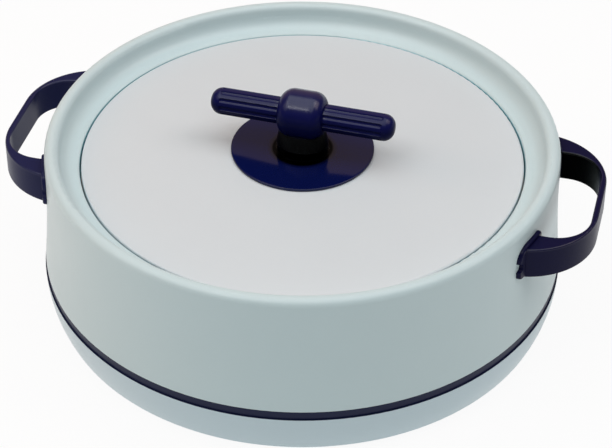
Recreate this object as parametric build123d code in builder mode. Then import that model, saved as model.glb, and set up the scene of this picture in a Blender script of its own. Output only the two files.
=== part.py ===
"""Round insulated casserole: foam-filled plastic body, steel bowl and a drop-in lid with a T-shaped knob."""

import os
from math import hypot, sqrt

from build123d import *

# Lengths are in millimetres and angles in degrees. Z is up from the table and the handles lie along X.

# Outside of the body: a bulging base below a slightly waisted wall
BODY_HEIGHT = 94.0
RIM_RADIUS = 130.9
RIM_FIT_DROP = 6.0
WALL_SAG = 1.0
BULGE_SWELL = 3.9
BULGE_HEIGHT = 23.8
FOOT_TUCK = 5.7
WALL = 2.6

# Recess in the top of the body and the mouth the lid drops into
RIM_WIDTH = 7.2
SHOULDER_SHARE = 0.52
RIM_INNER_SHARE = 0.42
RECESS_DEPTH = 12.0
RECESS_DRAFT = 0.8
LEDGE_WIDTH = 9.3
LEDGE_ROUND = 6.5
MOUTH_DEPTH = 6.2
MOUTH_ROUND = 1.0

# Base pan, whose top edge is at the bulge, and the trim ring trapped above it
FOOT_ROUND = 3.5
FOOT_WIDTH = 8.0
FOOT_LIFT = 2.4
FOOT_STEP = 1.5
BASE_DISC_SHARE = 0.45
BASE_DISC_DEPTH = 0.8
PAN_CORNER = 6.0
TRIM_HEIGHT = 4.8
TRIM_SINK = 0.15
TRIM_EDGE_ROUND = 0.4
SPIGOT_HEIGHT = 9.0
SPIGOT_WALL = 2.2
SPIGOT_STEP = 2.5

# Steel bowl
BOWL_SHEET = 0.8
BOWL_FLANGE_WIDTH = 6.3
BOWL_TAPER = 6.2
BOWL_FLOOR_HEIGHT = 14.0
BOWL_CORNER = 20.0
BOWL_LIP_BEND = 1.8

# Lid
LID_GAP = 0.8
LID_CROWN = 4.8
LID_WALL = 2.4
LID_EDGE_ROUND = 1.0
SEAL_HEIGHT = 1.6
SEAL_SETBACK = 0.4
SEAL_EDGE_ROUND = 0.4
LINER_WALL = 1.8
PLUG_GAP = 2.8
PLUG_DRAFT = 1.6
PLUG_DEPTH = 11.5
PLUG_CORNER = 4.0

# Knob
ROSETTE_RADIUS = 36.5
ROSETTE_EDGE = 1.7
ROSETTE_EDGE_ROUND = 0.6
ROSETTE_RISE = 3.2
POST_HALF_LENGTH = 13.4
POST_HALF_WIDTH = 11.6
NECK_HALF_LENGTH = 11.4
NECK_HALF_WIDTH = 8.2
BAR_RISE = 21.2
KNOB_TURN = -1.7
BARREL_RADIUS = 12.4
BARREL_HALF_LENGTH = 12.0
BARREL_ROUND = 7.0
BAR_RADIUS = 6.9
BAR_HALF_LENGTH = 47.8
BAR_TIP_ROUND = 5.6
FLUTE_COUNT = 10
FLUTE_RADIUS = 1.7
FLUTE_DEPTH = 0.75
FLUTE_HALF_LENGTH = 41.0

# Knob screw and its washer
SCREW_RADIUS = 2.4
SCREW_HEAD_RADIUS = 4.4
SCREW_HEAD_HEIGHT = 3.0
SCREW_REACH = 3.0
SCREW_SLOT_WIDTH = 1.2
SCREW_SLOT_DEPTH = 1.2
WASHER_RADIUS = 8.0
WASHER_HEIGHT = 1.2

# Loop handles
HANDLE_STANDOFF = 23.0
HANDLE_HALF_WIDTH = 49.5
HANDLE_CORNER = 37.0
HANDLE_DROP = 11.6
HANDLE_HEIGHT = 17.0
GRIP_THICKNESS = 3.2
ARM_THICKNESS = 14.2
OPENING_CORNER = 18.0
HANDLE_EDGE_ROUND = 1.0
FLANGE_THICKNESS = 2.0
FLANGE_INSET = 2.5
FLANGE_OVERHANG = 3.6
FLANGE_RISE = 2.0
FLANGE_LIFT = 0.6
FLANGE_SHOULDER = 8.0
FLANGE_CORNER = 2.5
FLANGE_EDGE_ROUND = 1.0
NOTCH_RADIUS = 2.6
NOTCH_RISE = 7.5

# Screws that hold the handles from inside the wall
HANDLE_SCREW_RADIUS = 1.9
HANDLE_SCREW_LENGTH = 14.0
HANDLE_SCREW_HEAD_RADIUS = 3.8
HANDLE_SCREW_HEAD_HEIGHT = 2.4
BOSS_RADIUS = 6.0
BOSS_DEPTH = 4.0

# Fits
FOAM_FIT = 0.2
SPIGOT_FIT = 0.15
SADDLE_FIT = 0.06
SCREW_FIT = 0.1
BORE_FIT = 0.06
STACK_FIT = 0.05
SEAL_FIT = 0.1
SEAL_BORE_FIT = 0.3
BOWL_EDGE_FIT = 0.5
POCKET_FIT = 0.4

# Heights that follow from the values above
trim_top = BULGE_HEIGHT + TRIM_HEIGHT
spigot_top = trim_top + SPIGOT_HEIGHT
pan_floor = FOOT_LIFT + WALL
rim_fit_height = BODY_HEIGHT - RIM_FIT_DROP
ledge_height = BODY_HEIGHT - RECESS_DEPTH
shelf_height = ledge_height - MOUTH_DEPTH
bowl_flange_top = shelf_height + BOWL_SHEET
skirt_bottom = bowl_flange_top + SEAL_HEIGHT + 2 * SEAL_FIT
plug_bottom = skirt_bottom - PLUG_DEPTH
bar_height = ledge_height + LID_CROWN + BAR_RISE
handle_top = BODY_HEIGHT - HANDLE_DROP
handle_bottom = handle_top - HANDLE_HEIGHT
handle_middle = (handle_bottom + handle_top) / 2

# Arc of the base below the bulge, upright where it meets the bulge
bulge_radius = RIM_RADIUS + BULGE_SWELL
foot_edge_radius = bulge_radius - FOOT_TUCK
base_arc = (BULGE_HEIGHT**2 + FOOT_TUCK**2) / (2 * FOOT_TUCK)


def body_radius(height):
    """Outside radius of the body at a height, on the base arc or the waisted wall above it."""
    if height <= BULGE_HEIGHT:
        return bulge_radius - base_arc + sqrt(base_arc**2 - (height - BULGE_HEIGHT) ** 2)
    share = (height - BULGE_HEIGHT) / (rim_fit_height - BULGE_HEIGHT)
    return bulge_radius + share * (RIM_RADIUS - bulge_radius) - 4 * WALL_SAG * share * (1 - share)


# Radii that follow, from the rim inward
recess_radius = body_radius(BODY_HEIGHT) - RIM_WIDTH
mouth_radius = recess_radius - RECESS_DRAFT - LEDGE_WIDTH
lid_radius = mouth_radius - LID_GAP
skirt_radius = lid_radius - LID_WALL
bowl_flange_radius = mouth_radius - BOWL_EDGE_FIT
bowl_mouth_radius = bowl_flange_radius - BOWL_FLANGE_WIDTH
bowl_floor_radius = bowl_mouth_radius - BOWL_TAPER
shelf_radius = bowl_mouth_radius + BOWL_LIP_BEND + FOAM_FIT
plug_radius = bowl_mouth_radius - PLUG_GAP
handle_reach = RIM_RADIUS + HANDLE_STANDOFF


def bowl_radius(height):
    """Inside radius of the tapered bowl wall at a height."""
    share = (height - BOWL_FLOOR_HEIGHT) / (bowl_flange_top - BOWL_FLOOR_HEIGHT)
    return bowl_floor_radius + share * (bowl_mouth_radius - bowl_floor_radius)


def lid_height(radius):
    """Height of the crowned lid top at a distance from its middle."""
    return ledge_height + LID_CROWN * (1 - (radius / lid_radius) ** 2)


def wall_arc(low, high, inset):
    """Arc of the body wall between two heights, moved inward by an inset."""
    middle = (low + high) / 2
    ThreePointArc(
        (body_radius(low) - inset, low),
        (body_radius(middle) - inset, middle),
        (body_radius(high) - inset, high),
    )


def crown_arc(radius, drop):
    """Arc of the lid crown from its middle out to a radius, moved down by a drop."""
    ThreePointArc(
        (0, lid_height(0) - drop),
        (radius / 2, lid_height(radius / 2) - drop),
        (radius, lid_height(radius) - drop),
    )


def corner(section, across, up):
    """Corner of a section that lies nearest to a point."""
    return section.vertices().sort_by_distance(Vector(across, up, 0))[0]


def axis_distance(face):
    """Distance of a face's middle from the upright axis of the body."""
    return hypot(face.center().X, face.center().Y)


# Outer shell before its screw seats: wall, rim, ledge, mouth and the shelf for the bowl
shoulder_round = SHOULDER_SHARE * RIM_WIDTH
rim_inner_round = RIM_INNER_SHARE * RIM_WIDTH
rim_wall = RIM_WIDTH / 3
rim_hollow_top = BODY_HEIGHT - shoulder_round
ledge_underside = ledge_height - WALL
with BuildPart() as shell_turned:
    with BuildSketch(Plane.XZ) as shell_section:
        with BuildLine():
            wall_arc(trim_top, BODY_HEIGHT, 0)
            Polyline(
                (body_radius(BODY_HEIGHT), BODY_HEIGHT),
                (recess_radius, BODY_HEIGHT),
                (recess_radius - RECESS_DRAFT, ledge_height),
                (mouth_radius, ledge_height),
                (mouth_radius, shelf_height),
                (shelf_radius, shelf_height),
                (shelf_radius, shelf_height - WALL),
                (mouth_radius + WALL, shelf_height - WALL),
                (mouth_radius + WALL, ledge_underside),
                (recess_radius - RECESS_DRAFT + rim_wall, ledge_underside),
                (recess_radius + rim_wall, rim_hollow_top),
                (body_radius(rim_hollow_top) - rim_wall, rim_hollow_top),
                (body_radius(ledge_underside) - WALL, ledge_underside),
            )
            wall_arc(trim_top, ledge_underside, WALL)
            Line((body_radius(trim_top) - WALL, trim_top), (body_radius(trim_top), trim_top))
        make_face()
        fillet(corner(shell_section, body_radius(BODY_HEIGHT), BODY_HEIGHT), shoulder_round)
        fillet(corner(shell_section, recess_radius, BODY_HEIGHT), rim_inner_round)
        fillet(corner(shell_section, recess_radius - RECESS_DRAFT, ledge_height), LEDGE_ROUND)
        fillet(corner(shell_section, mouth_radius, ledge_height), MOUTH_ROUND)
    revolve(axis=Axis.Z)

# Solid inside the wall's middle, used to end the screw seats within the wall
with BuildPart() as wall_core:
    with BuildSketch(Plane.XZ):
        with BuildLine():
            wall_arc(trim_top, rim_fit_height, WALL / 2)
            Polyline(
                (body_radius(rim_fit_height) - WALL / 2, rim_fit_height),
                (0, rim_fit_height),
                (0, trim_top),
                (body_radius(trim_top) - WALL / 2, trim_top),
            )
        make_face()
    revolve(axis=Axis.Z)

# Outer shell with seats for the handle screws on the inside of its wall
screw_spread = HANDLE_HALF_WIDTH - ARM_THICKNESS / 2
seat_wall = sqrt((body_radius(handle_middle) - WALL) ** 2 - screw_spread**2)
seat_face = seat_wall - BOSS_DEPTH
seat_reach = 2 * (BOSS_DEPTH + BOSS_RADIUS)
with BuildPart() as screw_seats:
    with BuildSketch(Plane.YZ.offset(seat_face)):
        with Locations((screw_spread, handle_middle), (-screw_spread, handle_middle)):
            Circle(BOSS_RADIUS)
    extrude(amount=seat_reach)
    add(wall_core.part, mode=Mode.INTERSECT)
    mirror(about=Plane.YZ)

with BuildPart() as outer_shell:
    add(shell_turned.part)
    add(screw_seats.part)
    for side in (1, -1):
        with BuildSketch(Plane.YZ.offset(side * seat_face)):
            with Locations((screw_spread, handle_middle), (-screw_spread, handle_middle)):
                Circle(HANDLE_SCREW_RADIUS + SCREW_FIT)
        extrude(amount=side * seat_reach, mode=Mode.SUBTRACT)
outer_shell.part.label = "outer_shell"

# Base pan: lower wall, floor, foot ring and the spigot that enters the shell
spigot_radius = body_radius(spigot_top) - WALL - SPIGOT_FIT
spigot_inner = spigot_radius - SPIGOT_WALL
pan_step_top = BULGE_HEIGHT - WALL
pan_step_low = pan_step_top - SPIGOT_STEP
foot_inner = foot_edge_radius - FOOT_ROUND - FOOT_WIDTH
base_disc_radius = BASE_DISC_SHARE * foot_edge_radius
with BuildPart() as base_pan:
    with BuildSketch(Plane.XZ) as pan_section:
        with BuildLine():
            wall_arc(0, BULGE_HEIGHT, 0)
            Polyline(
                (bulge_radius, BULGE_HEIGHT),
                (spigot_radius, BULGE_HEIGHT),
                (spigot_radius, spigot_top),
                (spigot_inner, spigot_top),
                (spigot_inner, pan_step_top),
                (body_radius(pan_step_low) - WALL, pan_step_low),
            )
            wall_arc(pan_floor, pan_step_low, WALL)
            Polyline(
                (body_radius(pan_floor) - WALL, pan_floor),
                (0, pan_floor),
                (0, FOOT_LIFT + BASE_DISC_DEPTH),
                (base_disc_radius, FOOT_LIFT + BASE_DISC_DEPTH),
                (base_disc_radius + BASE_DISC_DEPTH, FOOT_LIFT),
                (foot_inner - FOOT_STEP, FOOT_LIFT),
                (foot_inner, 0),
                (foot_edge_radius, 0),
            )
        make_face()
        fillet(corner(pan_section, foot_edge_radius, 0), FOOT_ROUND)
        fillet(corner(pan_section, body_radius(pan_floor) - WALL, pan_floor), PAN_CORNER)
    revolve(axis=Axis.Z)
base_pan.part.label = "base_pan"

# Trim ring between the pan's top edge and the shell's lower edge
trim_inner = spigot_radius + SPIGOT_FIT
trim_outer = body_radius(trim_top) - TRIM_SINK
with BuildPart() as trim_ring:
    with BuildSketch(Plane.XZ) as trim_section:
        with Locations(((trim_inner + trim_outer) / 2, (BULGE_HEIGHT + trim_top) / 2)):
            Rectangle(trim_outer - trim_inner, TRIM_HEIGHT)
        fillet(trim_section.vertices().group_by(Axis.X)[-1], TRIM_EDGE_ROUND)
    revolve(axis=Axis.Z)
trim_ring.part.label = "trim_ring"

# Steel bowl, hung by its flange on the shelf
bowl_underside = BOWL_FLOOR_HEIGHT - BOWL_SHEET
with BuildPart() as inner_bowl:
    with BuildSketch(Plane.XZ) as bowl_section:
        with BuildLine():
            Polyline(
                (0, BOWL_FLOOR_HEIGHT),
                (bowl_floor_radius, BOWL_FLOOR_HEIGHT),
                (bowl_mouth_radius, bowl_flange_top),
                (bowl_flange_radius, bowl_flange_top),
                (bowl_flange_radius, shelf_height),
                (bowl_radius(shelf_height) + BOWL_SHEET, shelf_height),
                (bowl_radius(bowl_underside) + BOWL_SHEET, bowl_underside),
                (0, bowl_underside),
                close=True,
            )
        make_face()
        fillet(corner(bowl_section, bowl_floor_radius, BOWL_FLOOR_HEIGHT), BOWL_CORNER)
        fillet(
            corner(bowl_section, bowl_radius(bowl_underside) + BOWL_SHEET, bowl_underside),
            BOWL_CORNER + BOWL_SHEET,
        )
        fillet(corner(bowl_section, bowl_mouth_radius, bowl_flange_top), BOWL_LIP_BEND)
        fillet(
            corner(bowl_section, bowl_radius(shelf_height) + BOWL_SHEET, shelf_height),
            BOWL_LIP_BEND - BOWL_SHEET,
        )
    revolve(axis=Axis.Z)
inner_bowl.part.label = "inner_bowl"

# Foam between bowl, shell and pan, with pockets round the screw seats
foam_low = pan_floor + FOAM_FIT
foam_high = ledge_underside - FOAM_FIT
foam_shelf = shelf_height - WALL - FOAM_FIT
foam_bowl_gap = BOWL_SHEET + FOAM_FIT
foam_bowl_floor = BOWL_FLOOR_HEIGHT - foam_bowl_gap
screw_tail = seat_face - HANDLE_SCREW_HEAD_HEIGHT - STACK_FIT - POCKET_FIT
with BuildPart() as body_foam:
    with BuildSketch(Plane.XZ) as foam_section:
        with BuildLine():
            Line((0, foam_low), (body_radius(foam_low) - WALL - FOAM_FIT, foam_low))
            wall_arc(foam_low, pan_step_low, WALL + FOAM_FIT)
            Polyline(
                (body_radius(pan_step_low) - WALL - FOAM_FIT, pan_step_low),
                (spigot_inner - FOAM_FIT, pan_step_top),
                (spigot_inner - FOAM_FIT, spigot_top + FOAM_FIT),
                (body_radius(spigot_top + FOAM_FIT) - WALL - FOAM_FIT, spigot_top + FOAM_FIT),
            )
            wall_arc(spigot_top + FOAM_FIT, foam_high, WALL + FOAM_FIT)
            Polyline(
                (body_radius(foam_high) - WALL - FOAM_FIT, foam_high),
                (mouth_radius + WALL + FOAM_FIT, foam_high),
                (mouth_radius + WALL + FOAM_FIT, foam_shelf),
                (bowl_radius(foam_shelf) + foam_bowl_gap, foam_shelf),
                (bowl_radius(foam_bowl_floor) + foam_bowl_gap, foam_bowl_floor),
                (0, foam_bowl_floor),
                (0, foam_low),
            )
        make_face()
        fillet(corner(foam_section, body_radius(foam_low) - WALL - FOAM_FIT, foam_low), PAN_CORNER)
        fillet(
            corner(foam_section, bowl_radius(foam_bowl_floor) + foam_bowl_gap, foam_bowl_floor),
            BOWL_CORNER + foam_bowl_gap,
        )
    revolve(axis=Axis.Z)
    for side in (1, -1):
        with BuildSketch(Plane.YZ.offset(side * screw_tail)):
            with Locations((screw_spread, handle_middle), (-screw_spread, handle_middle)):
                Circle(BOSS_RADIUS + POCKET_FIT)
        extrude(amount=side * bulge_radius, mode=Mode.SUBTRACT)
body_foam.part.label = "body_foam"

# Saddle flanges: two plates cut from a band that follows the wall and starts inside it
flange_low = handle_bottom + FLANGE_LIFT
flange_high = handle_top + FLANGE_RISE
flange_inner_y = HANDLE_HALF_WIDTH - ARM_THICKNESS - FLANGE_INSET
flange_outer_y = HANDLE_HALF_WIDTH + FLANGE_OVERHANG
flange_middle_y = (flange_inner_y + flange_outer_y) / 2
flange_middle_z = (flange_low + flange_high) / 2
flange_outer_gap = SADDLE_FIT + FLANGE_THICKNESS
notch_middle_z = flange_low + NOTCH_RISE
with BuildPart() as saddle_flanges:
    with BuildSketch(Plane.XZ):
        with BuildLine():
            wall_arc(flange_low, flange_high, WALL)
            wall_arc(flange_low, flange_high, -flange_outer_gap)
            Line(
                (body_radius(flange_low) - WALL, flange_low),
                (body_radius(flange_low) + flange_outer_gap, flange_low),
            )
            Line(
                (body_radius(flange_high) - WALL, flange_high),
                (body_radius(flange_high) + flange_outer_gap, flange_high),
            )
        make_face()
    revolve(axis=Axis.Z)
    with BuildSketch(Plane.YZ) as flange_outline:
        with Locations((flange_middle_y, flange_middle_z), (-flange_middle_y, flange_middle_z)):
            Rectangle(flange_outer_y - flange_inner_y, flange_high - flange_low)
        for side in (1, -1):
            fillet(corner(flange_outline, side * flange_outer_y, flange_high), FLANGE_SHOULDER)
            fillet(corner(flange_outline, side * flange_outer_y, flange_low), FLANGE_CORNER)
            fillet(corner(flange_outline, side * flange_inner_y, flange_high), FLANGE_CORNER)
            fillet(corner(flange_outline, side * flange_inner_y, flange_low), FLANGE_CORNER)
    extrude(amount=handle_reach, mode=Mode.INTERSECT)
    plate_fronts = faces().sort_by(axis_distance)[-2:]
    fillet(plate_fronts.edges(), FLANGE_EDGE_ROUND)
    with BuildSketch(Plane.YZ):
        with Locations((flange_outer_y, notch_middle_z), (-flange_outer_y, notch_middle_z)):
            Circle(NOTCH_RADIUS)
    extrude(amount=handle_reach, mode=Mode.SUBTRACT)

# Space the body takes up, less the fit of the saddles
with BuildPart() as wall_space:
    with BuildSketch(Plane.XZ):
        with BuildLine():
            wall_arc(trim_top, rim_fit_height, -SADDLE_FIT)
            Polyline(
                (body_radius(rim_fit_height) + SADDLE_FIT, rim_fit_height),
                (0, rim_fit_height),
                (0, trim_top),
                (body_radius(trim_top) + SADDLE_FIT, trim_top),
            )
        make_face()
    revolve(axis=Axis.Z)

# Right handle: a strap loop shaped in plan, closed against the wall by the flanges
opening_half_width = HANDLE_HALF_WIDTH - ARM_THICKNESS
opening_reach = handle_reach - GRIP_THICKNESS
loop_root = RIM_RADIUS / 2
with BuildPart() as right_handle:
    with BuildSketch(Plane.XY.offset(handle_bottom)) as loop_plan:
        with Locations(((loop_root + handle_reach) / 2, 0)):
            Rectangle(handle_reach - loop_root, 2 * HANDLE_HALF_WIDTH)
        fillet(loop_plan.vertices().group_by(Axis.X)[-1], HANDLE_CORNER)
    extrude(amount=handle_top - handle_bottom)
    with BuildSketch(Plane.XY.offset(handle_bottom)) as opening_plan:
        with Locations(((loop_root + opening_reach) / 2, 0)):
            Rectangle(opening_reach - loop_root, 2 * opening_half_width)
        fillet(opening_plan.vertices().group_by(Axis.X)[-1], OPENING_CORNER)
    extrude(amount=handle_top - handle_bottom, mode=Mode.SUBTRACT)
    loop_faces = faces().filter_by(Plane.XY)
    fillet(loop_faces.edges(), HANDLE_EDGE_ROUND)
    add(saddle_flanges.part)
    add(wall_space.part, mode=Mode.SUBTRACT)
    with BuildSketch(Plane.YZ.offset(seat_face)):
        with Locations((screw_spread, handle_middle), (-screw_spread, handle_middle)):
            Circle(HANDLE_SCREW_RADIUS + SCREW_FIT)
    extrude(amount=HANDLE_SCREW_LENGTH + POCKET_FIT, mode=Mode.SUBTRACT)
right_handle.part.label = "right_handle"

with BuildPart() as left_handle:
    mirror(right_handle.part, about=Plane.YZ)
left_handle.part.label = "left_handle"

# Handle screws, heads inside the wall
with BuildPart() as right_handle_screws:
    with BuildSketch(Plane.YZ.offset(seat_face - STACK_FIT)):
        with Locations((screw_spread, handle_middle), (-screw_spread, handle_middle)):
            Circle(HANDLE_SCREW_HEAD_RADIUS)
    extrude(amount=-HANDLE_SCREW_HEAD_HEIGHT)
    with BuildSketch(Plane.YZ.offset(seat_face - STACK_FIT)):
        with Locations((screw_spread, handle_middle), (-screw_spread, handle_middle)):
            Circle(HANDLE_SCREW_RADIUS)
    extrude(amount=HANDLE_SCREW_LENGTH)
    chamfer(edges().group_by(Axis.X)[-1], HANDLE_SCREW_RADIUS / 2)
right_handle_screws.part.label = "right_handle_screws"

with BuildPart() as left_handle_screws:
    mirror(right_handle_screws.part, about=Plane.YZ)
left_handle_screws.part.label = "left_handle_screws"

# Lid cover: crowned disc with a short skirt
with BuildPart() as lid_cover:
    with BuildSketch(Plane.XZ) as cover_section:
        with BuildLine():
            crown_arc(lid_radius, 0)
            Polyline(
                (lid_radius, lid_height(lid_radius)),
                (lid_radius, skirt_bottom),
                (skirt_radius, skirt_bottom),
                (skirt_radius, lid_height(skirt_radius) - LID_WALL),
            )
            crown_arc(skirt_radius, LID_WALL)
            Line((0, lid_height(0) - LID_WALL), (0, lid_height(0)))
        make_face()
        fillet(corner(cover_section, lid_radius, lid_height(lid_radius)), LID_EDGE_ROUND)
    revolve(axis=Axis.Z)
    with BuildSketch(Plane.XY.offset(skirt_bottom)):
        Circle(SCREW_RADIUS + SCREW_FIT)
    extrude(amount=BODY_HEIGHT, mode=Mode.SUBTRACT)
lid_cover.part.label = "lid_cover"

# Lid liner: flange under the cover and a shallow plug that reaches into the bowl
liner_flange_radius = skirt_radius - SCREW_FIT
liner_flange_top = lid_height(skirt_radius) - LID_WALL - STACK_FIT
plug_inner = plug_radius - LINER_WALL
with BuildPart() as lid_liner:
    with BuildSketch(Plane.XZ) as liner_section:
        with BuildLine():
            Polyline(
                (0, plug_bottom),
                (plug_radius - PLUG_DRAFT, plug_bottom),
                (plug_radius, skirt_bottom),
                (liner_flange_radius, skirt_bottom),
                (liner_flange_radius, liner_flange_top),
                (plug_inner, liner_flange_top),
                (plug_inner - PLUG_DRAFT, plug_bottom + LINER_WALL),
                (0, plug_bottom + LINER_WALL),
                close=True,
            )
        make_face()
        fillet(corner(liner_section, plug_radius - PLUG_DRAFT, plug_bottom), PLUG_CORNER)
        fillet(
            corner(liner_section, plug_inner - PLUG_DRAFT, plug_bottom + LINER_WALL),
            PLUG_CORNER - LINER_WALL,
        )
    revolve(axis=Axis.Z)
lid_liner.part.label = "lid_liner"

# Lid seal: flat ring round the plug, between the bowl flange and the lid
seal_inner = plug_radius + SEAL_BORE_FIT
seal_outer = lid_radius - SEAL_SETBACK
seal_low = bowl_flange_top + SEAL_FIT
with BuildPart() as lid_seal:
    with BuildSketch(Plane.XZ) as seal_section:
        with Locations(((seal_inner + seal_outer) / 2, seal_low + SEAL_HEIGHT / 2)):
            Rectangle(seal_outer - seal_inner, SEAL_HEIGHT)
        fillet(seal_section.vertices(), SEAL_EDGE_ROUND)
    revolve(axis=Axis.Z)
lid_seal.part.label = "lid_seal"

# Washer and screw that clamp the knob from inside the lid
washer_top = lid_height(WASHER_RADIUS) - LID_WALL - STACK_FIT
washer_low = washer_top - WASHER_HEIGHT
with BuildPart() as knob_washer:
    with BuildSketch(Plane.XY.offset(washer_low)):
        Circle(WASHER_RADIUS)
        Circle(SCREW_RADIUS + SCREW_FIT, mode=Mode.SUBTRACT)
    extrude(amount=WASHER_HEIGHT)
knob_washer.part.label = "knob_washer"

head_top = washer_low - STACK_FIT
head_low = head_top - SCREW_HEAD_HEIGHT
screw_end = bar_height + SCREW_REACH
with BuildPart() as knob_screw:
    with BuildSketch(Plane.XY.offset(head_low)):
        Circle(SCREW_HEAD_RADIUS)
    extrude(amount=SCREW_HEAD_HEIGHT)
    with BuildSketch(Plane.XY.offset(head_low)):
        Rectangle(2 * SCREW_HEAD_RADIUS, SCREW_SLOT_WIDTH)
    extrude(amount=SCREW_SLOT_DEPTH, mode=Mode.SUBTRACT)
    with BuildSketch(Plane.XY.offset(head_top)):
        Circle(SCREW_RADIUS)
    extrude(amount=screw_end - head_top)
    chamfer(edges().group_by(Axis.Z)[-1], SCREW_RADIUS / 4)
knob_screw.part.label = "knob_screw"

# Lid foam, with a pocket for the washer and the screw head
lid_foam_floor = plug_bottom + LINER_WALL + FOAM_FIT
lid_foam_radius = plug_inner - FOAM_FIT
with BuildPart() as lid_foam:
    with BuildSketch(Plane.XZ) as lid_foam_section:
        with BuildLine():
            crown_arc(lid_foam_radius, LID_WALL + FOAM_FIT)
            Polyline(
                (lid_foam_radius, lid_height(lid_foam_radius) - LID_WALL - FOAM_FIT),
                (lid_foam_radius, liner_flange_top),
                (lid_foam_radius - PLUG_DRAFT, lid_foam_floor),
                (0, lid_foam_floor),
                (0, lid_height(0) - LID_WALL - FOAM_FIT),
            )
        make_face()
        fillet(corner(lid_foam_section, lid_foam_radius - PLUG_DRAFT, lid_foam_floor), PLUG_CORNER)
    revolve(axis=Axis.Z)
    with BuildSketch(Plane.XY.offset(head_low - POCKET_FIT)):
        Circle(WASHER_RADIUS + POCKET_FIT)
    extrude(amount=BODY_HEIGHT, mode=Mode.SUBTRACT)
lid_foam.part.label = "lid_foam"

# Knob rosette: round plate with a shallow domed top and a flat seat for the post
rosette_edge_top = lid_height(ROSETTE_RADIUS) + STACK_FIT + ROSETTE_EDGE
dome_top = lid_height(0) + STACK_FIT + ROSETTE_EDGE + ROSETTE_RISE


def dome_height(radius):
    """Height of the rosette's domed top at a distance from its middle."""
    return dome_top - (dome_top - rosette_edge_top) * (radius / ROSETTE_RADIUS) ** 2


rosette_seat = dome_height(POST_HALF_LENGTH)
dome_middle = (POST_HALF_LENGTH + ROSETTE_RADIUS) / 2
with BuildPart() as knob_rosette:
    with BuildSketch(Plane.XZ) as rosette_section:
        with BuildLine():
            crown_arc(ROSETTE_RADIUS, -STACK_FIT)
            Line(
                (ROSETTE_RADIUS, lid_height(ROSETTE_RADIUS) + STACK_FIT),
                (ROSETTE_RADIUS, rosette_edge_top),
            )
            ThreePointArc(
                (ROSETTE_RADIUS, rosette_edge_top),
                (dome_middle, dome_height(dome_middle)),
                (POST_HALF_LENGTH, rosette_seat),
            )
            Polyline(
                (POST_HALF_LENGTH, rosette_seat),
                (0, rosette_seat),
                (0, lid_height(0) + STACK_FIT),
            )
        make_face()
        fillet(corner(rosette_section, ROSETTE_RADIUS, rosette_edge_top), ROSETTE_EDGE_ROUND)
    revolve(axis=Axis.Z)
    with BuildSketch(Plane.XY.offset(ledge_height)):
        Circle(SCREW_RADIUS + SCREW_FIT)
    extrude(amount=BODY_HEIGHT, mode=Mode.SUBTRACT)
knob_rosette.part.label = "knob_rosette"

# Knob post: oval post that narrows to a neck, with a rounded cross barrel on top.
# Post and bar are turned a little from the line of the handles, as the loose lid lies.
post_bottom = rosette_seat + STACK_FIT
neck_height = bar_height - BARREL_RADIUS / 2
bar_axis = Axis((0, 0, bar_height), (1, 0, 0))
with BuildPart() as straight_post:
    with BuildSketch(Plane.XY.offset(post_bottom)):
        Ellipse(POST_HALF_LENGTH, POST_HALF_WIDTH)
    with BuildSketch(Plane.XY.offset(neck_height)):
        Ellipse(NECK_HALF_LENGTH, NECK_HALF_WIDTH)
    loft()
    with BuildSketch(Plane.XZ) as barrel_section:
        with Locations((0, bar_height + BARREL_RADIUS / 2)):
            Rectangle(2 * BARREL_HALF_LENGTH, BARREL_RADIUS)
        fillet(barrel_section.vertices().group_by(Axis.Y)[-1], BARREL_ROUND)
    revolve(axis=bar_axis)
    with BuildSketch(Plane.YZ):
        with Locations((0, bar_height)):
            Circle(BAR_RADIUS + BORE_FIT)
    extrude(amount=BAR_HALF_LENGTH, both=True, mode=Mode.SUBTRACT)
    with BuildSketch(Plane.XY.offset(post_bottom)):
        Circle(SCREW_RADIUS + SCREW_FIT)
    extrude(amount=bar_height - post_bottom, mode=Mode.SUBTRACT)

with BuildPart() as knob_post:
    add(straight_post.part, rotation=(0, 0, KNOB_TURN))
knob_post.part.label = "knob_post"

# Grip bar: round bar with domed tips and long flutes
flute_ring = BAR_RADIUS + FLUTE_RADIUS - FLUTE_DEPTH
flute_plane = Plane(origin=(0, 0, bar_height), x_dir=(0, 1, 0), z_dir=(1, 0, 0))
with BuildPart() as straight_bar:
    with BuildSketch(Plane.XZ) as bar_section:
        with Locations((0, bar_height + BAR_RADIUS / 2)):
            Rectangle(2 * BAR_HALF_LENGTH, BAR_RADIUS)
        fillet(bar_section.vertices().group_by(Axis.Y)[-1], BAR_TIP_ROUND)
    revolve(axis=bar_axis)
    with BuildSketch(flute_plane):
        with PolarLocations(flute_ring, FLUTE_COUNT):
            Circle(FLUTE_RADIUS)
    extrude(amount=FLUTE_HALF_LENGTH, both=True, mode=Mode.SUBTRACT)
    for end in (FLUTE_HALF_LENGTH, -FLUTE_HALF_LENGTH):
        with Locations(flute_plane.offset(end)):
            with PolarLocations(flute_ring, FLUTE_COUNT):
                Sphere(FLUTE_RADIUS, mode=Mode.SUBTRACT)
    with BuildSketch(Plane.XY.offset(bar_height - BAR_RADIUS)):
        Circle(SCREW_RADIUS + SCREW_FIT)
    extrude(amount=BAR_RADIUS + SCREW_REACH + POCKET_FIT, mode=Mode.SUBTRACT)

with BuildPart() as grip_bar:
    add(straight_bar.part, rotation=(0, 0, KNOB_TURN))
grip_bar.part.label = "grip_bar"

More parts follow.
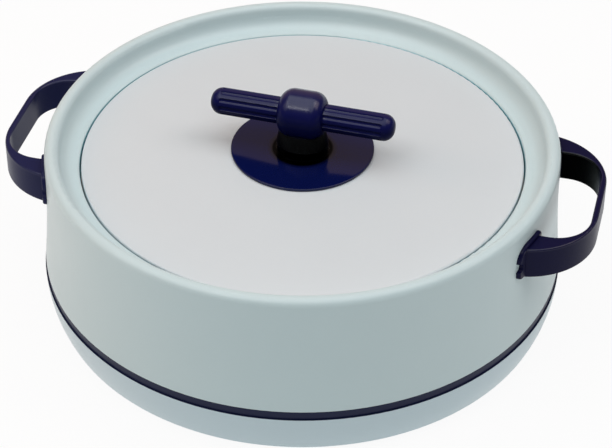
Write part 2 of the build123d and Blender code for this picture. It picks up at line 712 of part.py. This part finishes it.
os.makedirs("parts", exist_ok=True)
export_step(outer_shell.part, "parts/outer_shell.step")
export_step(base_pan.part, "parts/base_pan.step")
export_step(trim_ring.part, "parts/trim_ring.step")
export_step(inner_bowl.part, "parts/inner_bowl.step")
export_step(body_foam.part, "parts/body_foam.step")
export_step(left_handle.part, "parts/left_handle.step")
export_step(right_handle.part, "parts/right_handle.step")
export_step(left_handle_screws.part, "parts/left_handle_screws.step")
export_step(right_handle_screws.part, "parts/right_handle_screws.step")
export_step(lid_cover.part, "parts/lid_cover.step")
export_step(lid_liner.part, "parts/lid_liner.step")
export_step(lid_foam.part, "parts/lid_foam.step")
export_step(lid_seal.part, "parts/lid_seal.step")
export_step(knob_rosette.part, "parts/knob_rosette.step")
export_step(knob_post.part, "parts/knob_post.step")
export_step(grip_bar.part, "parts/grip_bar.step")
export_step(knob_screw.part, "parts/knob_screw.step")
export_step(knob_washer.part, "parts/knob_washer.step")
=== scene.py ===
"""Looks, light and camera for the insulated casserole."""

from math import radians

import bpy
from mathutils import Matrix, Vector


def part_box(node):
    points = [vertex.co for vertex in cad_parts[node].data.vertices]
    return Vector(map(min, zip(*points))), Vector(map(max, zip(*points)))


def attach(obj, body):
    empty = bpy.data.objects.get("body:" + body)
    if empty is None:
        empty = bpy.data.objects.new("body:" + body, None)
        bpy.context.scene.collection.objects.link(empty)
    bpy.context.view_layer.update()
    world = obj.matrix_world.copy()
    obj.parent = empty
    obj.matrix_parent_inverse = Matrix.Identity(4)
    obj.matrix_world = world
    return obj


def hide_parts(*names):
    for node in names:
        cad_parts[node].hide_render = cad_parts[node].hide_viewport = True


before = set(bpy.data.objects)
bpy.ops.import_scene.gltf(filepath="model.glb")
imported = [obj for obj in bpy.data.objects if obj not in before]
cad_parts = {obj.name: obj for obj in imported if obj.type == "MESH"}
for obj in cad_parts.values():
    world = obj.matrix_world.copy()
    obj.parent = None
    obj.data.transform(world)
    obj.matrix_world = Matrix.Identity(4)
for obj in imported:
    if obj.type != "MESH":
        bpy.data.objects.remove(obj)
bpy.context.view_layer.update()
bpy.ops.object.select_all(action="DESELECT")
scene = bpy.context.scene

# Each plastic has a clear tone and the deeper tone of its clouds
BODY_BLUE, BODY_BLUE_DEEP = (0.606, 0.730, 0.748, 1), (0.592, 0.716, 0.735, 1)
BASE_BLUE, BASE_BLUE_DEEP = (0.608, 0.732, 0.783, 1), (0.594, 0.718, 0.769, 1)
LID_GREY, LID_GREY_DEEP = (0.652, 0.702, 0.728, 1), (0.638, 0.688, 0.715, 1)
LINER_WHITE, LINER_WHITE_DEEP = (0.72, 0.73, 0.72, 1), (0.68, 0.69, 0.68, 1)
# Painted light: the left handle's navy is a lighter copy of the right one's, standing in for the light that
# falls on the left side
PAINTED_LIT_LEFT_NAVY, PAINTED_LIT_LEFT_NAVY_DEEP = (0.014, 0.016, 0.066, 1), (0.012, 0.014, 0.058, 1)
RIGHT_NAVY, RIGHT_NAVY_DEEP = (0.005, 0.005, 0.037, 1), (0.004, 0.004, 0.031, 1)
TRIM_NAVY, TRIM_NAVY_DEEP = (0.006, 0.011, 0.050, 1), (0.005, 0.009, 0.043, 1)
KNOB_NAVY, KNOB_NAVY_DEEP = (0.004, 0.005, 0.066, 1), (0.003, 0.004, 0.056, 1)
ROSETTE_NAVY, ROSETTE_NAVY_DEEP = (0.003, 0.006, 0.058, 1), (0.002, 0.005, 0.050, 1)
FOAM_YELLOW, FOAM_YELLOW_DEEP = (0.72, 0.63, 0.40, 1), (0.64, 0.55, 0.33, 1)
SEAL_WHITE, SEAL_WHITE_DEEP = (0.62, 0.62, 0.60, 1), (0.58, 0.58, 0.56, 1)
STEEL, STEEL_DEEP = (0.66, 0.66, 0.65, 1), (0.50, 0.50, 0.49, 1)
# Painted light and shade, not colours the plastics have: teal bounce light on the wall of the lid's mouth,
# painted shade on the knob's flanks, painted shadow black on the post and round the rosette's foot, painted
# shade black inside the right handle's rear arm
MOUTH_PAINTED_BOUNCE_TEAL = (0.16, 0.47, 0.55, 1)
KNOB_PAINTED_FLANK_SHADE = (0.002, 0.003, 0.036, 1)
PAINTED_SHADOW_BLACK = (0.0004, 0.0004, 0.0010, 1)
PAINTED_ARM_SHADE_BLACK = (0.0003, 0.0003, 0.0006, 1)

# Where the finishes and the painted light and shade change, each from first to last, in metres from the
# upright axis or above the table
MOUTH_RADIUS, MOUTH_TOP = (0.1140, 0.1146), (0.0808, 0.0816)
BASE_LIP = (0.02370, 0.02377)
HANDLE_EDGE_START, HANDLE_EDGE_END = (0.0812, 0.0816), (0.08236, 0.0824)
REAR_ARM_START = (0.004, 0.022)
POST_RADIUS, POST_TOP = (0.0145, 0.0150), (0.0985, 0.1015)
BARREL_RADIUS = (0.0120, 0.0150)
FOOT_RADIUS, FOOT_SHADE_RADIUS, FOOT_HEIGHT = (0.0150, 0.0160), (0.0150, 0.0180), (0.0864, 0.0866)

# How far a surface has to face forward or up before its finish or its painted shade changes
ARM_FORWARD = (-0.25, -0.55)
KNOB_PAINTED_SHADE_UP, KNOB_SHINE_UP = (0.05, 0.5), (0.25, 0.85)

# Patterns in the plastic and the steel, in repeats per metre
CLOUDS, SPECKS, SMEARS, LATHE_RINGS = 22.0, 900.0, 38.0, 1400.0
PLASTIC_IOR = 1.49
GRAIN_DEPTH = 0.0004
UNEVEN_GLOSS = 0.08


class Wire:
    """A shader socket that can be used in sums."""

    def __init__(self, tree, socket):
        self.tree = tree
        self.socket = socket

    def node(self, kind, sockets, output=0, **settings):
        """Adds one node, sets it up, feeds its sockets and returns one of its outputs."""
        made = self.tree.nodes.new(kind)
        for name, value in settings.items():
            setattr(made, name, value)
        for name, value in sockets.items():
            if isinstance(value, Wire):
                self.tree.links.new(value.socket, made.inputs[name])
            else:
                made.inputs[name].default_value = value
        return Wire(self.tree, made.outputs[output])

    def beside(self, output):
        """Another output of the node that this wire comes from."""
        return Wire(self.tree, self.socket.node.outputs[output])

    def math(self, operation, first, second):
        return self.node("ShaderNodeMath", {0: first, 1: second}, operation=operation)

    def __add__(self, other):
        return self.math("ADD", self, other)

    def __radd__(self, other):
        return self.math("ADD", other, self)

    def __sub__(self, other):
        return self.math("SUBTRACT", self, other)

    def __rsub__(self, other):
        return self.math("SUBTRACT", other, self)

    def __mul__(self, other):
        return self.math("MULTIPLY", self, other)

    def __rmul__(self, other):
        return self.math("MULTIPLY", other, self)


def new_finish(name):
    """An empty material with its surface shader and a wire that carries the object's own coordinates."""
    material = bpy.data.materials.new(name)
    material.use_nodes = True
    tree = material.node_tree
    shader = tree.nodes["Principled BSDF"]
    place = Wire(tree, tree.nodes.new("ShaderNodeTexCoord").outputs["Object"])
    return material, shader, place


def feed(wire, shader, socket):
    """Links a wire to a socket of the surface shader."""
    wire.tree.links.new(wire.socket, shader.inputs[socket])


def noise(place, scale, detail, roughness=0.5):
    """Soft noise from 0 to 1."""
    return place.node("ShaderNodeTexNoise", {
        "Vector": place, "Scale": scale, "Detail": detail, "Roughness": roughness})


def between(wire, low, high):
    """A wire's values from low to high, stretched to run from 0 to 1 and kept there."""
    return wire.node("ShaderNodeMapRange", {"Value": wire, "From Min": low, "From Max": high})


def mix_colour(amount, first, second):
    """First colour where amount is 0, second where it is 1."""
    return amount.node("ShaderNodeMix", {0: amount, 6: first, 7: second}, 2, data_type="RGBA")


def parts(wire):
    """The three parts of a vector."""
    across = wire.node("ShaderNodeSeparateXYZ", {"Vector": wire})
    return across, across.beside("Y"), across.beside("Z")


def facing(place):
    """The three parts of the surface's own direction."""
    return parts(place.node("ShaderNodeTexCoord", {}, "Normal"))


def axis_spread(place):
    """Distance from the upright axis and height above the table."""
    across, back, up = parts(place)
    return place.math("POWER", across * across + back * back, 0.5), up


def moulded_plastic(name, colour, deep, rough, grain, grain_size, gloss=0.5, coat_rough=0.1):
    """Injection-moulded plastic: cloudy tone, fine spark-eroded grain and slightly uneven gloss."""
    material, shader, place = new_finish(name)
    cloud = between(noise(place, CLOUDS, 3.0), 0.3, 0.7)
    speck = between(noise(place, SPECKS, 1.0), 0.35, 0.65)
    tint = mix_colour(cloud * 0.7 + speck * 0.3, deep, colour)
    feed(tint, shader, "Base Color")
    smear = between(noise(place, SMEARS, 4.0, 0.6), 0.3, 0.75)
    feed(smear * UNEVEN_GLOSS + (rough - UNEVEN_GLOSS / 2), shader, "Roughness")
    height = noise(place, grain_size, 2.0, 0.6)
    bump = place.node("ShaderNodeBump", {"Strength": grain, "Distance": GRAIN_DEPTH, "Height": height})
    feed(bump, shader, "Normal")
    shader.inputs["IOR"].default_value = PLASTIC_IOR
    shader.inputs["Specular IOR Level"].default_value = gloss
    shader.inputs["Coat Roughness"].default_value = coat_rough
    return material, shader, place, tint


def plain_plastic(*values):
    """Moulded plastic that is the same all over."""
    return moulded_plastic(*values)[0]


def brushed_steel(name):
    """Steel spun on a lathe: fine rings round the middle axis."""
    material, shader, place = new_finish(name)
    radius, up = axis_spread(place)
    along = radius * LATHE_RINGS + up * LATHE_RINGS
    rings = place.node("ShaderNodeTexNoise", {"W": along, "Scale": 1.0, "Detail": 3.0}, noise_dimensions="1D")
    feed(mix_colour(rings, STEEL_DEEP, STEEL), shader, "Base Color")
    feed(rings * 0.18 + 0.2, shader, "Roughness")
    shader.inputs["Metallic"].default_value = 1.0
    return material


def body_shell(name):
    """Satin ice blue with painted bounce light: teal painted on the wall of the lid's mouth stands in for
    light bounced inside the gap and passed through the plastic.
    """
    material, shader, place, satin = moulded_plastic(name, BODY_BLUE, BODY_BLUE_DEEP, 0.36, 0.05, 1400.0)
    radius, up = axis_spread(place)
    # Painted bounce light: the mouth wall below the ledge turns teal
    mouth = (1 - between(radius, *MOUTH_RADIUS)) * (1 - between(up, *MOUTH_TOP))
    feed(mix_colour(mouth, satin, MOUTH_PAINTED_BOUNCE_TEAL), shader, "Base Color")
    return material


def base_shell(name):
    """Satin ice blue with a navy upper lip where the trim ring lies on it."""
    material, shader, place, satin = moulded_plastic(name, BASE_BLUE, BASE_BLUE_DEEP, 0.36, 0.05, 1400.0)
    lip = between(parts(place)[2], *BASE_LIP)
    feed(mix_colour(lip, satin, TRIM_NAVY), shader, "Base Color")
    return material


def handle_navy(name, colour, deep, shade=None):
    """Navy strap that shines along its upper edges, with a painted shade inside its rear arm if one is given:
    a near-black colour, made metallic so that it shows no reflection, stands in for the shadow there.
    """
    material, shader, place, strap = moulded_plastic(
        name, colour, deep, 0.34, 0.06, 1500.0, gloss=0.09, coat_rough=0.22)
    _, back, up = parts(place)
    edge = between(up, *HANDLE_EDGE_START) * (1 - between(up, *HANDLE_EDGE_END))
    feed(edge * 0.5, shader, "Coat Weight")
    if shade:
        # Painted shade: the inside of the rear arm turns near-black and metallic so that it shows no
        # reflection
        rear_arm_painted_shade = between(facing(place)[1], *ARM_FORWARD) * between(back, *REAR_ARM_START)
        feed(mix_colour(rear_arm_painted_shade, strap, shade), shader, "Base Color")
        feed(rear_arm_painted_shade, shader, "Metallic")
    return material


def knob_navy(name):
    """Navy knob, shiny on top of bar and barrel, with painted shade that darkens the flanks facing sideways
    and a near-black painted shadow on the post under the barrel.
    """
    material, shader, place, navy = moulded_plastic(
        name, KNOB_NAVY, KNOB_NAVY_DEEP, 0.32, 0.05, 1500.0, gloss=0.05, coat_rough=0.23)
    radius, up = axis_spread(place)
    lean = facing(place)[2]
    # Painted shade: faces that turn sideways get a darker navy
    satin = mix_colour(between(lean, *KNOB_PAINTED_SHADE_UP), KNOB_PAINTED_FLANK_SHADE, navy)
    # Painted shadow: the post below the barrel is near-black
    post = (1 - between(up, *POST_TOP)) * (1 - between(radius, *POST_RADIUS))
    feed(mix_colour(post, satin, PAINTED_SHADOW_BLACK), shader, "Base Color")
    barrel = 1 - between(radius, *BARREL_RADIUS)
    feed(between(lean, *KNOB_SHINE_UP) * (barrel * 0.35 + 0.5), shader, "Coat Weight")
    return material


def rosette_navy(name):
    """Polished navy plate with a painted shadow: the foot under the post and a ring round it are near-black,
    and the foot is made metallic so that it shows no reflection.
    """
    material, shader, place, polish = moulded_plastic(
        name, ROSETTE_NAVY, ROSETTE_NAVY_DEEP, 0.10, 0.01, 900.0, gloss=0.4)
    radius, up = axis_spread(place)
    raised = between(up, *FOOT_HEIGHT)
    # Painted shadow: the foot and a ring round it turn near-black, and the foot turns metallic so that it
    # shows no reflection
    shade = (1 - between(radius, *FOOT_SHADE_RADIUS)) * raised
    feed(mix_colour(shade, polish, PAINTED_SHADOW_BLACK), shader, "Base Color")
    feed((1 - between(radius, *FOOT_RADIUS)) * raised, shader, "Metallic")
    return material


foam = plain_plastic("rigid_foam", FOAM_YELLOW, FOAM_YELLOW_DEEP, 0.8, 0.5, 500.0)
navy_knob_painted_shade = knob_navy("navy_knob_painted_shade")
polished_navy_painted_shadow = rosette_navy("polished_navy_rosette_painted_shadow")
spun_steel = brushed_steel("spun_steel")

finishes = {
    "outer_shell": body_shell("ice_blue_body"),
    "base_pan": base_shell("ice_blue_base"),
    "trim_ring": plain_plastic("navy_trim", TRIM_NAVY, TRIM_NAVY_DEEP, 0.36, 0.05, 1500.0, 0.18),
    "inner_bowl": spun_steel,
    "body_foam": foam,
    # Painted light: the left handle is a lighter navy than the right, standing in for light from the left
    "left_handle": handle_navy("painted_lit_left_handle_navy", PAINTED_LIT_LEFT_NAVY, PAINTED_LIT_LEFT_NAVY_DEEP),
    # Painted shade: the right handle is near-black inside its rear arm
    "right_handle": handle_navy("right_handle_navy_painted_shade", RIGHT_NAVY, RIGHT_NAVY_DEEP, PAINTED_ARM_SHADE_BLACK),
    "left_handle_screws": spun_steel,
    "right_handle_screws": spun_steel,
    "lid_cover": plain_plastic("pale_grey_lid", LID_GREY, LID_GREY_DEEP, 0.5, 0.10, 1800.0),
    "lid_liner": plain_plastic("off_white_liner", LINER_WHITE, LINER_WHITE_DEEP, 0.42, 0.06, 1500.0),
    "lid_foam": foam,
    "lid_seal": plain_plastic("milky_silicone", SEAL_WHITE, SEAL_WHITE_DEEP, 0.45, 0.04, 1200.0),
    "knob_rosette": polished_navy_painted_shadow,
    "knob_post": navy_knob_painted_shade,
    "grip_bar": navy_knob_painted_shade,
    "knob_screw": spun_steel,
    "knob_washer": spun_steel,
}
for node, finish in finishes.items():
    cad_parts[node].material_slots[0].material = finish
    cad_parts[node].shadow_terminator_geometry_offset = 0.2

# Rosette under the knob: a thin plate, hollow like a shallow saucer, with an oval foot that carries the post
rosette_low, rosette_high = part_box("knob_rosette")
rim = (rosette_high.x - rosette_low.x) / 2
rim_flat, rim_fall = 0.0010, 0.00003
rim_top = rosette_low.z + 0.0014
under = rosette_low.z + 0.0005
seat = rosette_high.z
bore = 0.0023
foot_length, foot_width = 0.0134, 0.0116
foot_low = rim_top - 0.00075
foot_margin, foot_rise = 0.0012, 0.00004
rosette_sides = 160
edge_radius = 0.0004
merge_distance = 0.000001
sharp_angle = radians(40)
rosette_rings = [
    (bore, bore, seat),
    (foot_length, foot_width, seat),
    (foot_length, foot_width, foot_low),
    (foot_length + foot_margin, foot_width + foot_margin, foot_low + foot_rise),
    (rim - rim_flat, rim - rim_flat, rim_top - rim_fall),
    (rim, rim, rim_top),
    (rim, rim, rosette_low.z),
    (foot_length, foot_length, under),
    (bore, bore, under),
    (bore, bore, seat),
]
bpy.ops.mesh.primitive_circle_add(vertices=rosette_sides, radius=bore, location=(0, 0, seat))
plate = bpy.context.object
plate.name = "rosette_plate"
bpy.ops.object.transform_apply(location=True)
bpy.ops.object.mode_set(mode="EDIT")
bpy.ops.mesh.select_all(action="SELECT")
for (length, width, height), (next_length, next_width, next_height) in zip(rosette_rings, rosette_rings[1:]):
    bpy.ops.mesh.extrude_region_move(TRANSFORM_OT_translate={"value": (0, 0, next_height - height)})
    bpy.ops.transform.resize(
        value=(next_length / length, next_width / width, 1), center_override=(0, 0, next_height))
bpy.ops.mesh.select_all(action="SELECT")
bpy.ops.mesh.remove_doubles(threshold=merge_distance)
bpy.ops.mesh.normals_make_consistent(inside=False)
bpy.ops.object.mode_set(mode="OBJECT")
edge_round = plate.modifiers.new("edge_round", "BEVEL")
edge_round.width = edge_radius
edge_round.segments = 3
edge_round.limit_method = "ANGLE"
edge_round.angle_limit = sharp_angle
bpy.ops.object.modifier_apply(modifier="edge_round")
bpy.ops.object.shade_smooth_by_angle(angle=sharp_angle)
plate.data.materials.append(polished_navy_painted_shadow)
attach(plate, "lid")
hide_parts("knob_rosette")

# White paper floor that lights the object from below
floor_size = 40.0
glow_on_object, glow_on_view = (0.736, 0.800, 0.808, 1), (1, 1, 1, 1)
glow_share, glow_share_in_view = 0.60, 0.31
bpy.ops.mesh.primitive_plane_add(size=floor_size, location=(0, 0, 0))
floor = bpy.context.object
floor.name = "floor"
paper, paper_shader, paper_place = new_finish("white_paper")
paper_shader.inputs["Base Color"].default_value = (0.9, 0.9, 0.9, 1)
paper_shader.inputs["Roughness"].default_value = 0.9
camera_ray = paper_place.node("ShaderNodeLightPath", {}, "Is Camera Ray")
mirror_rays = camera_ray.beside("Is Glossy Ray") + camera_ray.beside("Is Transmission Ray")
in_view = between(camera_ray + mirror_rays, 0.0, 1.0)
glow = paper_place.node("ShaderNodeEmission", {"Color": mix_colour(in_view, glow_on_object, glow_on_view)})
surface = Wire(paper.node_tree, paper_shader.outputs[0])
seen = paper_place.node("ShaderNodeMixShader", {
    0: in_view * glow_share_in_view + glow_share, 1: surface, 2: glow})
paper.node_tree.links.new(seen.socket, paper.node_tree.nodes["Material Output"].inputs["Surface"])
floor.data.materials.append(paper)

world = bpy.data.worlds.new("studio")
world.use_nodes = True
scene.world = world
sky = world.node_tree.nodes["Background"]
sky.inputs["Color"].default_value = (1, 1, 1, 1)
sky.inputs["Strength"].default_value = 0.12


def softbox(name, place, aim, size, power, colour=(1, 1, 1)):
    """A square studio light that points at a spot."""
    bpy.ops.object.light_add(type="AREA", location=place)
    lamp = bpy.context.object
    lamp.name = name
    lamp.data.size = size
    lamp.data.energy = power
    lamp.data.color = colour
    lamp.rotation_euler = (Vector(aim) - Vector(place)).to_track_quat("-Z", "Y").to_euler()
    return lamp


wall_middle = (0, 0, 0.06)
softbox("overhead_softbox", place=(-0.06, -0.13, 1.40), aim=(-0.05, 0, 0.0), size=1.7,
        power=14.0, colour=(0.955, 1.0, 1.02))
warm_side = softbox("left_warm_softbox", place=(-1.4, -0.1, 0.80), aim=wall_middle, size=0.9,
                    power=4.9, colour=(1.0, 0.55, 0.36))
warm_side.visible_glossy = False
softbox("right_warm_softbox", place=(0.98, 0.22, 1.28), aim=wall_middle, size=0.9,
        power=5.8, colour=(1.0, 0.86, 0.82))
softbox("front_cool_softbox", place=(0.4, -1.6, 0.25), aim=wall_middle, size=1.0,
        power=0.25, colour=(0.84, 1.0, 1.0))
softbox("small_window_light", place=(-0.30, -0.66, 1.15), aim=(0, 0, 0.11), size=0.14, power=0.6)
softbox("left_front_softbox", place=(-0.86, -0.50, 1.18), aim=(0, 0, 0.09), size=1.0,
        power=2.5, colour=(1.0, 0.95, 0.92))

# Warm board behind the object that the polished rosette mirrors
board_turn = (radians(90), radians(-12), radians(14))
bpy.ops.mesh.primitive_plane_add(size=1.0, location=(-0.27, 1.07, 0.86), rotation=board_turn)
backdrop = bpy.context.object
backdrop.name = "warm_backdrop"
backdrop.scale = (2.6, 1.35, 1)
backdrop.visible_camera = False
umber, umber_shader, _ = new_finish("warm_backdrop")
umber_shader.inputs["Base Color"].default_value = (0, 0, 0, 1)
umber_shader.inputs["Emission Color"].default_value = (0.36, 0.25, 0.20, 1)
umber_shader.inputs["Emission Strength"].default_value = 1.0
backdrop.data.materials.append(umber)

scene.view_settings.view_transform = "Standard"

# Camera on an arc round the object, in degrees and metres, with small turns that centre the picture
azimuth, elevation, distance = 14.0, 37.373, 1.100
aim_height = 0.055
pan, dip, lean_over = 0.125, 0.713, 0.229
bpy.ops.object.camera_add()
camera = bpy.context.object
camera.data.sensor_width = 36.0
camera.data.lens = 124.71
arc = Matrix.Rotation(radians(azimuth), 4, "Z") @ Matrix.Rotation(radians(-elevation), 4, "X")
stand = Matrix.Translation(arc @ Vector((0, -distance, 0)) + Vector((0, 0, aim_height)))
turn = Matrix.Rotation(radians(azimuth - pan), 4, "Z")
tilt = Matrix.Rotation(radians(90 - elevation - dip), 4, "X")
roll = Matrix.Rotation(radians(lean_over), 4, "Z")
camera.matrix_world = stand @ turn @ tilt @ roll
scene.camera = camera
